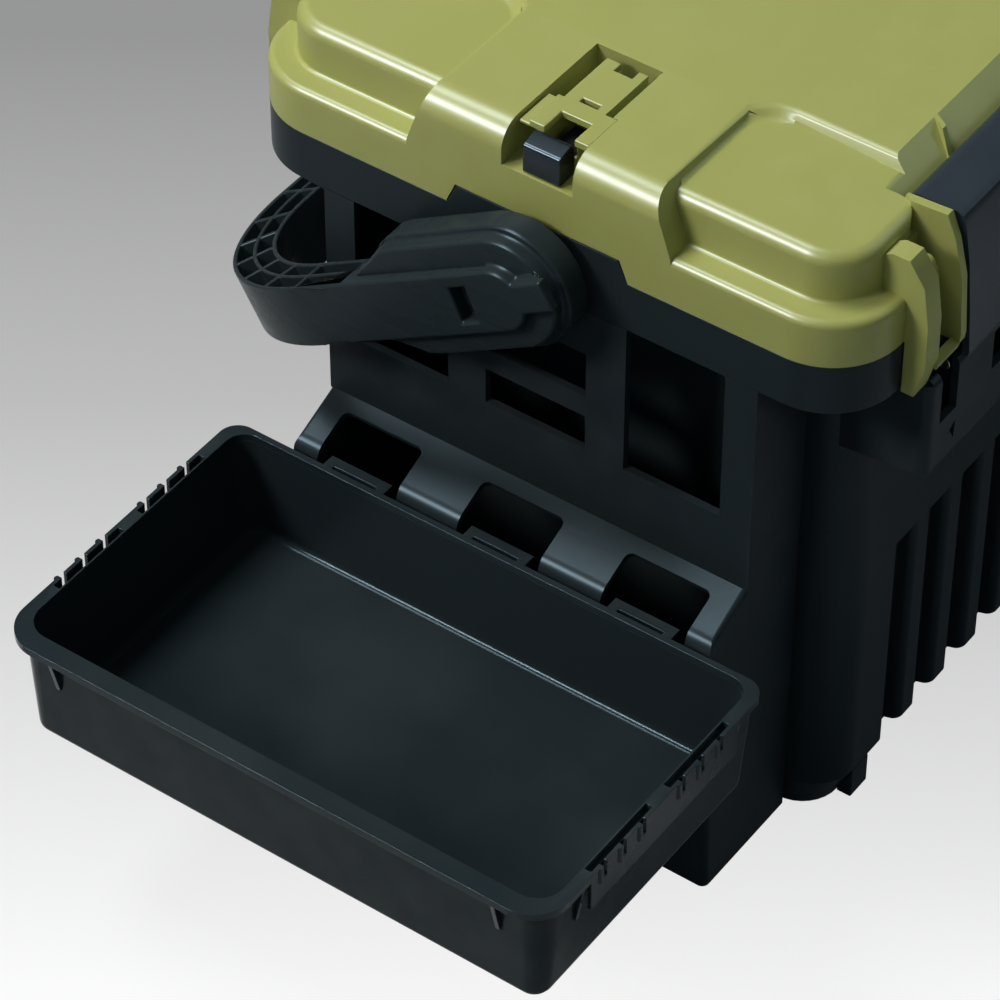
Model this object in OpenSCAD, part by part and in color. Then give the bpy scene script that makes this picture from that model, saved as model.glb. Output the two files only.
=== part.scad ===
// Fishing tackle cabinet: moulded tub, latched lid, bail handle and a hung side tray.
// Millimetres, +Z up, X along the long axis, front at -Y, tray end at -X.

/* [Overall] */
// Half the distance between the two end panels
half_len = 200; // [192:1:206]
// Half the width across the rim and lid skirt
rim_half_w = 127.3; // [126:0.1:128]
// Plan radius of the rim and lid corners
rim_r = 27.5; // [22:0.5:32]
// Height of the underside of the rim
rim_z0 = 230.5; // [228:0.5:233]
// Height of the flange the lid rests on
rim_z1 = 251; // [250:0.5:253]

/* [Tub] */
// Wall thickness of the mouldings
wall = 2.6; // [2:0.1:3]
// Distance of the tub's end walls in from the end panels
tub_in = 32.7; // [30:0.1:36]
// Half width of the tub above its bottom chamfer
tub_half_w = 109.2; // [107:0.1:110]
// Plan radius of the tub's corner columns
tub_r = 18; // [14:0.5:20]
// Height of the bottom chamfer
cham_z = 14.6; // [10:0.1:20]
// Run of the bottom chamfer
cham_in = 6.5; // [4:0.1:8]
// Number of grooves along each long side
groove_n = 12; // [8:1:12]
// Distance from one groove to the next
groove_pitch = 22.5; // [20:0.1:23]
// Width of a groove
groove_w = 10; // [8:0.1:12]
// Depth of a groove
groove_d = 6; // [4:0.1:7]
// Height of the flat top of the grooves
groove_z = 116; // [100:1:125]

/* [End box] */
// Half width of the windowed end panel
panel_half_w = 90.3; // [88:0.1:92]
// Height where the sloping shoulder meets the panel
shoulder_z = 137.4; // [134:0.1:142]
// Distance between the pockets of the shoulder
pocket_pitch = 62; // [60:0.5:64]
// Width of a pocket
pocket_w = 35.5; // [31:0.5:36]

/* [Handle] */
// Height of the handle pivots
pivot_z = 241; // [240:0.5:242]
// Angle the folded handle hangs below level
droop = 31; // [29:1:36]
// Reach of the outer face of the grip from the pivots
grip_reach = 169; // [169:1:178]
// Half width of the arms
arm_half = 12; // [10:0.5:13]
// Thickness of the arms
arm_t = 17.2; // [15:0.1:18]

/* [Lid] */
// Height of the ledge round the lid
ledge_z = 270; // [268:0.1:272]
// Height of the four corner pads
pad_z = 289.5; // [288:0.1:291]
// Height of the flat top
top_z = 293.3; // [292:0.1:295]
// How far the upper part stands in from the ends of the skirt
end_in = 10.5; // [9:0.1:12]
// How far the upper part stands in from the sides of the skirt
side_in = 9.5; // [9:0.1:10]

/* [Buckles] */
// Start of each buckle, measured in from the end panel
buckle_x0 = 54.4; // [54:0.1:56]
// Length of each buckle
buckle_len = 88; // [84:1:90]
// Distance of the lid pins from the middle
pin_y = 115.6; // [115.4:0.1:116]
// Height of the lid pins
pin_z = 285.6; // [285.4:0.1:286]
// Distance of the catch rods from the middle
rod_y = 128.5; // [128.3:0.1:129]
// Height of the catch rods
rod_z = 222.5; // [221:0.1:223]
// Radius of the pins and rods
rod_r = 2.5; // [2:0.1:2.6]

/* [Side tray] */
// Half width of the tray over its rim
tray_half_w = 116; // [112:0.5:120]
// Distance of the tray's near rim edge from the end panel
tray_gap = 25; // [24.6:0.1:27]
// Depth of the tray over its rim
tray_depth = 133.3; // [128:0.1:138]
// Height of the tray's rim
tray_z = 125.8; // [125:0.1:127]
// Depth of the pan below the rim
tray_deep = 49.5; // [44:0.5:54]

/* [Hidden] */
$fn = 48;
black = [0.09, 0.10, 0.11];
green = [0.50, 0.50, 0.25];
steel = [0.55, 0.56, 0.57];
fit = 0.03;                                  // gap between pieces that seat on each other
tub_x = half_len - tub_in;
mould_t = 3;                                 // wall of the rim, end boxes, housings and lid
rim_inner_z = rim_z1 - mould_t;
end_lip_w = 33.2;                            // half width of the raised end lip
end_lip_h = 8.2;
boss_r = 6;                                  // radius of the handle pivots
hook_x = [78, 110];                          // start of each hook, from the end panel
hook_w = 9;
hook_r = 5.4;
housing_x = [39.6, 150];                     // ends of a catch housing, from the end panel
housing_front_x = 36;                        // the front pair starts nearer to the end panel
housing_y = 136;
housing_z = 189;
housing_r = 4;                               // corner radius of the housings
sill_z = 208.5;
base_in = 12.2;                              // how far the base stands in under the grooves
base_x = half_len - 61;                      // half length of that recess, between the feet
slope_deg = 23.5;                            // angle of the shoulder and of the pockets in it
lean_deg = 1.6;                              // outward lean of the plinth
plinth_x = 19.3;                             // how far the plinth's foot stands out from the end panel
nose = [-15.6, 122.7];                       // centre and radius of the shoulder's rounded nose
nose_r = 7.2;
barrel_r = 5.4;
recess_x = 43;                               // start of the buckle recess, from the end panel
pad_round = 9.3;                             // radius of the pads beside the buckles
pad_round_y = 108.3;
cheeks = [49.9, buckle_x0 + buckle_len + 1.2];
cheek_t = 3.4;
pin_x = [cheeks[0] + 1, cheeks[1] + cheek_t - 1];   // ends of a pin, inside the outer cheeks

// ---- shared shapes ----
function arc(c, r, a0, a1, n) = [for (i = [0 : n]) let (a = a0 + (a1 - a0) * i / n) c + r * [cos(a), sin(a)]];
module rr(hx, hy, r) {                       // rounded rectangle from half sizes
  square([2 * hx - 2 * r, 2 * hy], center = true);
  square([2 * hx, 2 * hy - 2 * r], center = true);
  for (sx = [-1, 1], sy = [-1, 1]) translate([sx * (hx - r), sy * (hy - r)]) circle(r);
}
module slab(hx, hy, r, z, h) translate([0, 0, z]) linear_extrude(h) rr(hx, hy, r);
module soft_slab(hx, hy, r, z, h, e) {       // slab with its top edge rounded by e
  slab(hx - e, hy - e, r - e, z, h);
  slab(hx, hy, r, z, h - e);
  for (s = [-1, 1]) {
    bar_x(-hx + r, hx - r, s * (hy - e), z + h - e, e);
    translate([s * (hx - e), 0, z + h - e]) rotate([90, 0, 0]) cylinder(r = e, h = 2 * (hy - r), center = true);
    for (t = [-1, 1]) translate([s * (hx - r), t * (hy - r), z + h - e])
      rotate_extrude() translate([r - e, 0]) intersection() { circle(e, $fn = 32); translate([0, -e]) square(2 * e); }
  }
}
module box(x0, x1, y0, y1, z0, z1) translate([x0, y0, z0]) cube([x1 - x0, y1 - y0, z1 - z0]);
module bar_x(x0, x1, y, z, r) translate([x0, y, z]) rotate([0, 90, 0]) cylinder(r = r, h = x1 - x0);
module prof_y(y0, y1) translate([0, y1, 0]) rotate([90, 0, 0]) linear_extrude(y1 - y0) children();
module prof_x(x0, x1) translate([x0, 0, 0]) rotate([90, 0, 90]) linear_extrude(x1 - x0) children();
module both_x() { children(); mirror([1, 0, 0]) children(); }
module both_y() { children(); mirror([0, 1, 0]) children(); }
module far_end() mirror([1, 0, 0]) children();
module rear_side() mirror([0, 1, 0]) children();

// ---- tub with its grooves ----
module tub_plan(t) rr(tub_x - t, tub_half_w - t, tub_r - t);
module tub_form(t, z_lo, z_hi) {
  translate([0, 0, cham_z]) linear_extrude(z_hi - cham_z) tub_plan(t);
  hull() {
    translate([0, 0, cham_z]) linear_extrude(0.02) tub_plan(t, $fn = 32);
    translate([0, 0, z_lo]) linear_extrude(0.01)
      rr(tub_x - t - 2, tub_half_w - t - cham_in, tub_r - t - 2, $fn = 32);
  }
}
module groove_plan(grow) {                    // groove with rounded shoulders, mouth towards +y
  lip = 3.2;
  half = groove_w / 2 + grow;
  translate([-half, -groove_d - grow]) square([2 * half, groove_d + 6 + grow]);
  if (grow == 0) difference() {
    translate([-half - lip, -lip]) square([2 * half + 2 * lip, lip + 6]);
    for (s = [-1, 1]) translate([s * (half + lip), -lip]) circle(lip, $fn = 24);
  }
}
module grooves(grow) both_y() for (i = [0 : groove_n - 1])
  translate([(i - (groove_n - 1) / 2) * groove_pitch, tub_half_w, grow > 0 ? 0 : -1])
    linear_extrude(groove_z + grow + (grow > 0 ? 0 : 1)) groove_plan(grow);
module base_recess(t) both_y() prof_x(-base_x - t, base_x + t)   // undercut below the grooves
  polygon([[-tub_half_w - 1, -1], [-tub_half_w - 1, cham_z + t], [-tub_half_w, cham_z + t],
    [-tub_half_w + groove_d, cham_z - 2 + t], [-tub_half_w + base_in + t, cham_z - 4 + t],
    [-tub_half_w + base_in + t, -1]]);
module tub() color(black) difference() {
  tub_form(0, 0, rim_inner_z);
  difference() {
    tub_form(wall, wall, rim_inner_z + 2);
    grooves(wall);
    base_recess(wall);
  }
  grooves(0);
  base_recess(0);
}
module corner_feet() color(black) both_x() both_y() prof_x(-half_len + 49.6, -half_len + 61)
  polygon([[cham_in - tub_half_w - 0.02, 0], [-tub_half_w, 0], [-tub_half_w, cham_z]]);

// ---- rim: an inverted channel round the top of the tub ----
module end_lip(grow) polygon([[-end_lip_w - 3.9 - grow, rim_z1 - grow], [-end_lip_w - grow, rim_z1 + end_lip_h + grow],
  [end_lip_w + grow, rim_z1 + end_lip_h + grow], [end_lip_w + 3.9 + grow, rim_z1 - grow]]);
module pivot_hole() bar_x(-half_len - 1, -half_len + 20, 0, pivot_z, boss_r + 0.06);
module rim_frame() color(black) {
  difference() {
    slab(half_len, rim_half_w, rim_r, rim_z0, rim_z1 - rim_z0);
    slab(half_len - mould_t, rim_half_w - mould_t, rim_r - mould_t, rim_z0 - 1, rim_inner_z - rim_z0 + 1);
    slab(tub_x - wall, tub_half_w - wall, tub_r - wall, rim_inner_z - 5, 20);
    both_x() pivot_hole();
  }
  both_x() {
    prof_x(-half_len, -half_len + mould_t) end_lip(0);
    difference() {
      bar_x(-half_len + mould_t, -half_len + 13, 0, pivot_z, 10);
      pivot_hole();
      box(-half_len, -half_len + 20, -12, 12, rim_inner_z, rim_inner_z + 12);
    }
  }
}

// ---- end box: windowed panel over a shoulder with three pockets, x from the panel ----
module end_profile(t) {                       // set in by t, open at the top and towards the tub
  polygon(concat([[-plinth_x + t, t]], arc(nose, nose_r - t, 180 + lean_deg, 90 + slope_deg, 8),
    [[t, shoulder_z - t * (1 - sin(slope_deg)) / cos(slope_deg)], [t, rim_z0 - fit + t], [tub_in - fit + t, rim_z0 - fit + t],
     [tub_in - fit + t, t]]));
}
module round_cut(r) difference() {              // what a corner at the origin loses to radius r
  translate([-r, -r]) square(r + 1);
  translate([-r, -r]) circle(r);
}
module edge_cuts() {                           // rounded ends of the shoulder and of the plinth
  translate([0, panel_half_w, shoulder_z]) rotate([0, -slope_deg, 0]) translate([-30, 0, 0])
    rotate([90, 0, 90]) linear_extrude(30) round_cut(2.4);
  translate([-plinth_x, panel_half_w, -1]) rotate([0, -lean_deg, 0]) linear_extrude(121)
    mirror([1, 0]) round_cut(3);
}
module end_box() color(black) translate([-half_len, 0, 0]) difference() {
  prof_y(-panel_half_w, panel_half_w) end_profile(0);
  prof_y(-panel_half_w + mould_t, panel_half_w - mould_t) end_profile(mould_t);
  both_y() edge_cuts();
  both_y() box(-6, 6, 37.4, 77.4, 166.3, rim_z0 + 1);
  box(-6, 6, -21.2, 21.2, 191.4, 211);
  box(-6, 6, -21.2, 21.2, 166.5, 182.3);
  for (i = [-1 : 1]) translate([0, i * pocket_pitch, 0]) {
    box(-40, -12.6, fit - pocket_w / 2, pocket_w / 2 - fit, 113, 140);
    translate([0, 0, shoulder_z]) rotate([0, -slope_deg, 0]) translate([-14.5, 0, -12]) linear_extrude(16)
      rr(8.5, pocket_w / 2, 3);
  }
}
module end_box_near() end_box();
module end_box_far() far_end() end_box();

// ---- catch housings under the rim and the rods in them, drawn for the front ----
module housing_plan(x0) {
  translate([x0, -housing_y + housing_r]) square([housing_x[1] - x0, housing_y - housing_r - tub_half_w + tub_r]);
  translate([x0 + housing_r, -housing_y]) square([housing_x[1] - x0 - 2 * housing_r, housing_r]);
  for (x = [x0 + housing_r, housing_x[1] - housing_r]) translate([x, -housing_y + housing_r]) circle(housing_r);
}
module housing_section() polygon(concat([[-tub_half_w + tub_r, housing_z - 5], [-housing_y, housing_z]],
  arc([-housing_y + 3.5, rim_z0 - fit - 3.5], 3.5, 180, 90, 5), [[-tub_half_w + tub_r, rim_z0 - fit]]));
module housing(x0) translate([-half_len, 0, 0]) difference() {
  intersection() {
    translate([0, 0, housing_z - 6]) linear_extrude(60) housing_plan(x0);
    prof_x(x0 - 1, housing_x[1] + 1) housing_section();
  }
  translate([half_len, 0, housing_z - 7]) linear_extrude(60) tub_plan(-fit);
  difference() {
    box(x0 + mould_t, housing_x[1] - mould_t, -housing_y + mould_t, 0, housing_z + mould_t, 240);
    box(x0, tub_in + tub_r + 2, -tub_half_w - 4, 0, housing_z, 240);
  }
  for (x = hook_x) box(x - 1.5, x + hook_w + 1.5, -housing_y - 1, -housing_y + mould_t + 1, sill_z, 240);
  box(43, 53.6, -housing_y - 1, -housing_y + mould_t + 1, sill_z, 240);
  prof_y(-housing_y - 1, -housing_y + mould_t + 1) polygon([[50.4, 200], [54, 202.4], [53.4, 194.6]]);
  box(x0 - 1, 38.2, -housing_y - 1, -rim_half_w, 228.9, 240);   // room for the lid's corner cheek
}
module rod_posts() translate([-half_len, 0, 0])
  for (x = [56, 141]) box(x, x + 4, -housing_y + 1, -tub_half_w - 10, housing_z + 1, rod_z + 5);
module catch_housing_pair(x0) color(black) both_x() difference() {
  union() { housing(x0); rod_posts(); }
  bar_x(-half_len + 50, -half_len + housing_x[1] - mould_t, -rod_y, rod_z, rod_r + fit);
}
module catch_housings_front() catch_housing_pair(housing_front_x);
module catch_housings_rear() rear_side() catch_housing_pair(housing_x[0]);
module rods() color(steel) both_x() bar_x(-half_len + 56, -half_len + 145, -rod_y, rod_z, rod_r);
module catch_rods_front() rods();
module catch_rods_rear() rear_side() rods();

// ---- lid ----
lid_z0 = rim_z1 + 0.1;
slot_z = 277.8;                               // floor of the slots that hold the locks
leaf_z = 290.4;                               // underside of the lock leaves
leaf_x = 26.3;                                // where a leaf narrows, from the end panel
inner_z = slot_z - 2.6;                       // ceiling of the room over the inner tray
fin_deg = 31;
slope = [[99, top_z + 2], [99, top_z], [111, top_z - 11.3], [113.4, pin_z - 6], [140, pin_z - 6],
         [140, top_z + 2]];
module pad_cut(grow, z) translate([-half_len + 62 - 43, -90, z]) linear_extrude(0.01)
  rr(43 + grow, 44 + grow, 15 + grow, $fn = 32);
module lid_outer() difference() {
  union() {
    soft_slab(half_len, rim_half_w, rim_r, lid_z0, ledge_z - lid_z0, 3);
    soft_slab(half_len - end_in, rim_half_w - side_in, 19, ledge_z - 4, pad_z - ledge_z + 4, 5);
    intersection() {                          // proud middle block with its rounded end edges
      prof_y(-60, 60) union() {
        translate([-half_len, lid_z0]) square([2 * half_len, top_z - lid_z0 - 10]);
        translate([-half_len + 10, lid_z0]) square([2 * half_len - 20, top_z - lid_z0]);
        for (s = [-1, 1]) translate([s * (half_len - 10), top_z - 10]) circle(10);
      }
      prof_x(-half_len, half_len)
        polygon([[-54, lid_z0], [-54, ledge_z], [-46, top_z], [46, top_z], [54, ledge_z], [54, lid_z0]]);
    }
    difference() {                            // flat top between the pads
      slab(half_len - 30, 112, 12, pad_z - 1, top_z - pad_z + 1);
      both_x() both_y() hull() {
        pad_cut(0, pad_z);
        pad_cut(3.6, top_z + 0.1);
      }
    }
  }
  both_y() difference() {                      // buckle recess, round the pads' corners
    prof_x(-half_len + recess_x, half_len - recess_x) polygon(slope);
    both_x() translate([-half_len + recess_x, pad_round_y, ledge_z]) linear_extrude(40) pad_corner(0);
  }
}
module pad_corner(grow) {
  circle(pad_round + grow);
  translate([-1, -20]) square([pad_round + grow + 1, 20]);
}
module pad_hollow() linear_extrude(pad_z - ledge_z) difference() {   // under the corner pads
  rr(half_len - end_in - mould_t, rim_half_w - side_in - mould_t, 16);
  both_y() translate([-half_len + recess_x - mould_t, 96]) square([2 * (half_len - recess_x + mould_t), 40]);
  both_x() translate([half_len - 59, -17.5]) square([80, 35]);
}
module lid_shell() color(green) {
  difference() {
    lid_outer();
    slab(half_len - mould_t, rim_half_w - mould_t, rim_r - mould_t, lid_z0 - 1, ledge_z - mould_t - lid_z0 + 1);
    slab(half_len - end_in - mould_t, rim_half_w - side_in - mould_t, 16, lid_z0, inner_z - lid_z0);
    slab(half_len - 69, 96, 10, ledge_z, top_z - mould_t - ledge_z);
    translate([0, 0, ledge_z - mould_t]) pad_hollow();
    both_x() prof_x(-half_len - 1, -half_len + mould_t + 1) end_lip(0.6);
    both_x() translate([-half_len, 0, slot_z]) linear_extrude(40)
      polygon([[-5, -14.5], [leaf_x, -14.5], [leaf_x, -12.5], [56, -12.5], [56, 14.5], [-5, 14.5]]);
  }
  both_x() both_y() intersection() {           // fins set aslant on the slopes by the buckles
    translate([-half_len + 90, 97, 270]) rotate(fin_deg) cube([2, 20, 40]);
    prof_x(-half_len + 70, -half_len + 110) polygon([[98.6, top_z], [104.4, top_z - 0.4],
      [109.4, 284.6], [109.4, top_z - 9.82], [98.6, top_z - 0.1]]);
  }
}
module lid_stiffener() color(green) {         // rib grid under the flat top
  for (x = [-120, -60, 0, 60, 120]) box(x - 1.2, x + 1.2, -95, 95, 281, top_z - mould_t - fit);
  for (y = [-48, 48], x = [-120 : 60 : 60]) box(x + 1.2, x + 58.8, y - 1.2, y + 1.2, 281, top_z - mould_t - fit);
}
module leaf() color(green) translate([-half_len, 0, 0]) difference() {
  union() {
    box(9.2, leaf_x - fit, -14.5 + fit, 9.6, leaf_z, top_z);
    box(9.2, leaf_x - fit, 9.6, 13.6, leaf_z, top_z - 1.6);
    box(leaf_x - fit, 51.7, -9.6, 7.4, leaf_z, top_z);
    for (y = [-9.6, 5.2]) box(10.4, 51.7, y, y + 2.2, slot_z + fit, leaf_z);
  }
  box(8, 19.3, -8.7, 3.4, leaf_z - 6, 300);
  box(26.9, 29.3, -5.9, 1.65, leaf_z - 6, 300);
  box(47.2, 52, -5.8, 1.6, leaf_z - 6, 300);
}
module lock_leaf_near() leaf();
module lock_leaf_far() far_end() leaf();

ledge_side = [[-127.8, lid_z0], [-127.3 - fit, lid_z0], [-127.3 - fit, ledge_z - 3], [-126.5, ledge_z - 0.8],
              [-124.3, ledge_z + fit], [-117.8 - fit, ledge_z + fit]];   // outline of the lid's ledge
module corner_cheek() polygon(concat([[-117.8 - fit, 284.4], [-121, 286], [-127.4, 286], [-133.7, 277],
  [-136, 261], [-136.2, 243], [-132.6, 229.3], [-127.8, 229.3]], ledge_side));
module pin_cheek() polygon(concat([[-111 - fit, top_z - 11.3 + fit], [-109.6, 283.4], [-109.6, 286],
  [-111.4, 291], [-128.5, 292], [-132.3, 283], [-135.8, 268], [-137.4, 244], [-137, 240.6], [-127.8, 240.6]],
  ledge_side, [[-117.8 - fit, pin_z - 6 + fit], [-113.4 - fit, pin_z - 6 + fit]]));
module lugs() translate([-half_len, 0, 0]) difference() {
  union() {
    prof_x(29.2, 37.8) corner_cheek();
    for (x = cheeks) prof_x(x, x + cheek_t) pin_cheek();
    prof_x(37, cheeks[0] + 1) polygon([[-133, 238.4], [-136, 237.4], [-137, 240.8], [-133.6, 241.6]]);
    bar_x(37, 46, -124.8, 273.5, 3);
  }
  bar_x(pin_x[0] - fit, pin_x[1] + fit, -pin_y, pin_z, rod_r + fit);
  translate([recess_x, -pad_round_y, 270]) linear_extrude(40) mirror([0, 1]) pad_corner(fit);
}
module lug_pair() color(green) both_x() lugs();
module lid_lugs_front() lug_pair();
module lid_lugs_rear() rear_side() lug_pair();
module pins() color(steel) both_x()
  bar_x(-half_len + pin_x[0], -half_len + pin_x[1], -pin_y, pin_z, rod_r);
module buckle_pins_front() pins();
module buckle_pins_rear() rear_side() pins();

// ---- buckle: cover hung from the lid pin, with two hooks round the catch rod ----
module cover_profile() difference() {
  union() {
    translate([-pin_y, pin_z]) circle(barrel_r);
    polygon([[-pin_y, 291], [-129.4, 291], [-131.9, 290], [-133.2, 287.6], [-135.8, 271], [-137.6, 250],
      [-138.6, 234], [-138.2, 231.8], [-135.8, 231.8], [-135, 250], [-133.2, 270.6], [-130.8, 286.4],
      [-129, 288.2], [-pin_y, 288.2]]);
  }
  translate([-pin_y, pin_z]) circle(rod_r + 0.06);
}
module hook_profile() difference() {
  union() {
    polygon([[-131.2, rod_z], [-131.2, 262], [-131.9, 278], [-133.9, 278], [-135.2, 256], [-134.4, 236],
      [-133.9, rod_z]]);
    translate([-rod_y, rod_z]) circle(hook_r);
  }
  translate([-rod_y, rod_z]) circle(rod_r + 0.06);
  intersection() {                            // mouth, an arc about the lid pin
    translate([-pin_y, pin_z]) circle(norm([rod_y - pin_y, pin_z - rod_z]) + rod_r + 0.06, $fn = 96);
    translate([-rod_y, rod_z - 4]) square([12, 14]);
  }
  translate([-131.2, rod_z + rod_r]) square([12, 12]);
}
module buckle() color(black) translate([-half_len, 0, 0]) {
  prof_x(buckle_x0, buckle_x0 + buckle_len) cover_profile();
  for (x = [buckle_x0, 97, buckle_x0 + buckle_len - 2.4]) prof_x(x, x + 2.4)
    polygon([[-pin_y, 288.3], [-129, 288.3], [-131, 286], [-133.4, 270], [-134.2, 262], [-131.2, 262],
      [-129.8, 276], [-126.4, 284]]);
  for (x = hook_x) prof_x(x, x + hook_w) hook_profile();
}
module buckle_front_left() buckle();
module buckle_front_right() far_end() buckle();
module buckle_rear_left() rear_side() buckle();
module buckle_rear_right() rear_side() far_end() buckle();

// ---- catches that lock the upright handle ----
module lock_catch() color(black) translate([-half_len, 0, 0]) {
  prof_y(-8.6, 6.6) polygon([[1, 278.2], [1, 288.9], [1.7, 289.8], [7.6, 291.5], [9, 291],
    [9, 290], [10, 290], [10, 278.2]]);
  box(10, 26, -6, 2.4, 278.2, 283.6);
}
module lock_catch_near() lock_catch();
module lock_catch_far() far_end() lock_catch();

// ---- bail handle, drawn flat: x across, y out from the pivots, z through its depth ----
hub_out = half_len + 23.8;                    // half width over the arms
grip_r = 75;                                  // outer radius of the bends
cell_wall = 1.8;
rib_deg = 14.6;                               // step of the ribs round the bends
rib_pitch = 24.8;                             // and along the grip
module bail_edge(t) {                          // outline of the bail, t in from its outside at the arms
  x = hub_out - t;
  y = grip_reach - 1.2 * t;                    // the grip is a fifth thicker than the arms
  r = grip_r - 1.3 * t;
  translate([-x, -60]) square([2 * x, y + 60 - r]);
  translate([r - x, 0]) square([2 * (x - r), y]);
  for (s = [-1, 1]) translate([s * (x - r), y - r]) circle(r, $fn = 96);
}
module bail_band(t0, t1) difference() {        // a band from t0 to t1 in from the outside
  bail_edge(t0);
  difference() {
    bail_edge(t1);
    translate([-300, -100]) square([600, 40]);
  }
}
module cell_plan() difference() {              // open moulding cells
  union() {
    bail_band(cell_wall, arm_t / 2 - 0.7);
    bail_band(arm_t / 2 + 0.9, arm_t - cell_wall);
  }
  translate([-300, -100]) square([600, 171]);
  for (i = [-6 : 6]) translate([i * rib_pitch - 0.9, 120]) square([1.8, 80]);
  for (s = [-1, 1], a = [0 : rib_deg : 80]) translate([s * (hub_out - grip_r), grip_reach - grip_r])
    rotate(s > 0 ? a : 180 - a) translate([40, -0.9]) square([60, 1.8]);
}
module place_handle() translate([0, 0, pivot_z]) rotate([-droop, 0, 0]) children();
module bail() difference() {
  translate([0, 0, -arm_half]) linear_extrude(2 * arm_half) bail_band(0, arm_t);
  for (s = [0, 1]) mirror([0, 0, s]) translate([0, 0, 2.5]) linear_extrude(20) cell_plan();
}
module hub_plan(w, u1, u2) {                   // rounded hub end running into the arm
  circle(w);
  translate([0, -w]) square([u1, 2 * w]);
  polygon([[u1, -w], [u1 + 5, -w + 0.6], [u1 + 11, -w + 3.4], [u1 + 18, -arm_half - 3], [u2, -arm_half],
           [u2, arm_half], [u1 + 18, arm_half + 3], [u1 + 11, w - 3.4], [u1 + 5, w - 0.6], [u1, w]]);
}
module arm() color(black) place_handle() difference() {
  union() {
    intersection() {                           // straight arm
      bail();
      box(-hub_out, -hub_out + 90, 0, 95, -30, 30);
    }
    prof_x(-hub_out, -hub_out + 4.4) { circle(arm_half); translate([-24, -6]) square([24, 12]); }
    prof_x(-hub_out + 4.4, -hub_out + 9.6) hub_plan(21.4, 44, 66);
    prof_x(-hub_out + 9.6, -half_len - 3.9) hub_plan(24.2, 42, 68);
  }
  prof_x(-hub_out - 1, -hub_out + 6) polygon([[11.5, 6.4], [19, 6.4], [20.4, -7], [12.9, -7]]);   // snap window
  box(-half_len - 6.9, -half_len, 36.4, 51.4, -8.8, 9.2);
  bar_x(-half_len - 16, -half_len, 0, 0, boss_r + 0.02);
}
module handle_arm_near() arm();
module handle_arm_far() far_end() arm();
module handle_grip() color(black) place_handle() intersection() {
  bail();
  box(-300, 300, 95.02, 200, -30, 30);
}
module pivot() color(black) translate([0, 0, pivot_z]) {
  bar_x(-half_len - 16, -half_len + 12, 0, 0, boss_r);
  bar_x(-half_len - 3.85, -half_len - fit, 0, 0, 12);
}
module handle_pivot_near() pivot();
module handle_pivot_far() far_end() pivot();

// ---- side tray, hung in the shoulder pockets ----
tray_x1 = -half_len - tray_gap;               // near edge of the rim
tray_x0 = tray_x1 - tray_depth;               // far edge of the rim
tray_floor = tray_z - tray_deep;
module tray_plan(x0, x1, hy, r, q) {           // corners of radius r at x0 and q at x1
  for (s = [-1, 1]) {
    translate([x0 + r, s * (hy - r)]) circle(r);
    translate([x1 - q, s * (hy - q)]) circle(q);
  }
  translate([x0 + r, -hy]) square([x1 - q - x0 - r, 2 * hy]);
  translate([x0, r - hy]) square([r, 2 * (hy - r)]);
  translate([x1 - q, q - hy]) square([q, 2 * (hy - q)]);
}
module tray_level(z, x0, x1, hy, r, q) translate([0, 0, z]) linear_extrude(0.01)
  tray_plan(x0, x1, hy, r, q, $fn = 32);
module tray_bowl(z, x0, x1, hy, r, e) for (a = [0 : 22.5 : 90])   // levels of a bowl with its foot rounded by e
  let (s = e * (1 - sin(a))) tray_level(z + e * (1 - cos(a)), x0 + s, x1 - s, hy - s, r - s, r - s);
module side_tray_pan() color(black) difference() {
  hull() {
    tray_bowl(tray_floor, tray_x0 + 6.7, tray_x1 - 0.6, tray_half_w - 6.1, 7, 4);
    tray_level(tray_z - 3.01, tray_x0 + 5.4, tray_x1 - 0.2, tray_half_w - 2.6, 11, 7);
  }
  hull() {
    tray_bowl(tray_floor + 3.5, tray_x0 + 9.4, tray_x1 - 2.9, tray_half_w - 9.4, 7.5, 3);
    tray_level(tray_z, tray_x0 + 8, tray_x1 - 2.6, tray_half_w - 5, 10, 8);
  }
}
comb_x = [47.2, 93.4];                        // start of each long slot of the combs, from the end panel
comb_len = 35.6;
slit_pitch = 11.4;
slit_w = 2.6;
module comb_cut() for (x = comb_x) {           // a long slot, and slits from it out through the side
  box(-half_len - x - comb_len, -half_len - x, -tray_half_w + 1.5, -tray_half_w + 4.2, 100, 160);
  for (i = [0 : 2]) translate([-half_len - x - 5.6 - slit_w - slit_pitch * i, -tray_half_w - 2, tray_z - 7])
    cube([slit_w, 4, 40]);
}
module comb_knobs() for (x = comb_x, i = [0 : 2]) intersection() {   // round front end of each tooth's gap
  translate([-half_len - x - 5.6 - slit_w - slit_pitch * i - 1.1, -tray_half_w + 0.6, tray_z - 7]) cylinder(r = 1.5, h = 7);
  box(-half_len - x - 5.6 - slit_w - slit_pitch * i - 3, -half_len - x - 5.6 - slit_w - slit_pitch * i,
    -tray_half_w - 2, -tray_half_w + 1.5, 100, 160);
}
fin_z = tray_z - 19.8;                        // foot of the fins under the rim
module side_fin() polygon([[-tray_half_w + 0.4, tray_z - 2.9], [-tray_half_w + 2.6 - fit, tray_z - 2.9],
  [-tray_half_w + 3.75, fin_z], [-tray_half_w + 3.1, fin_z]]);
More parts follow.
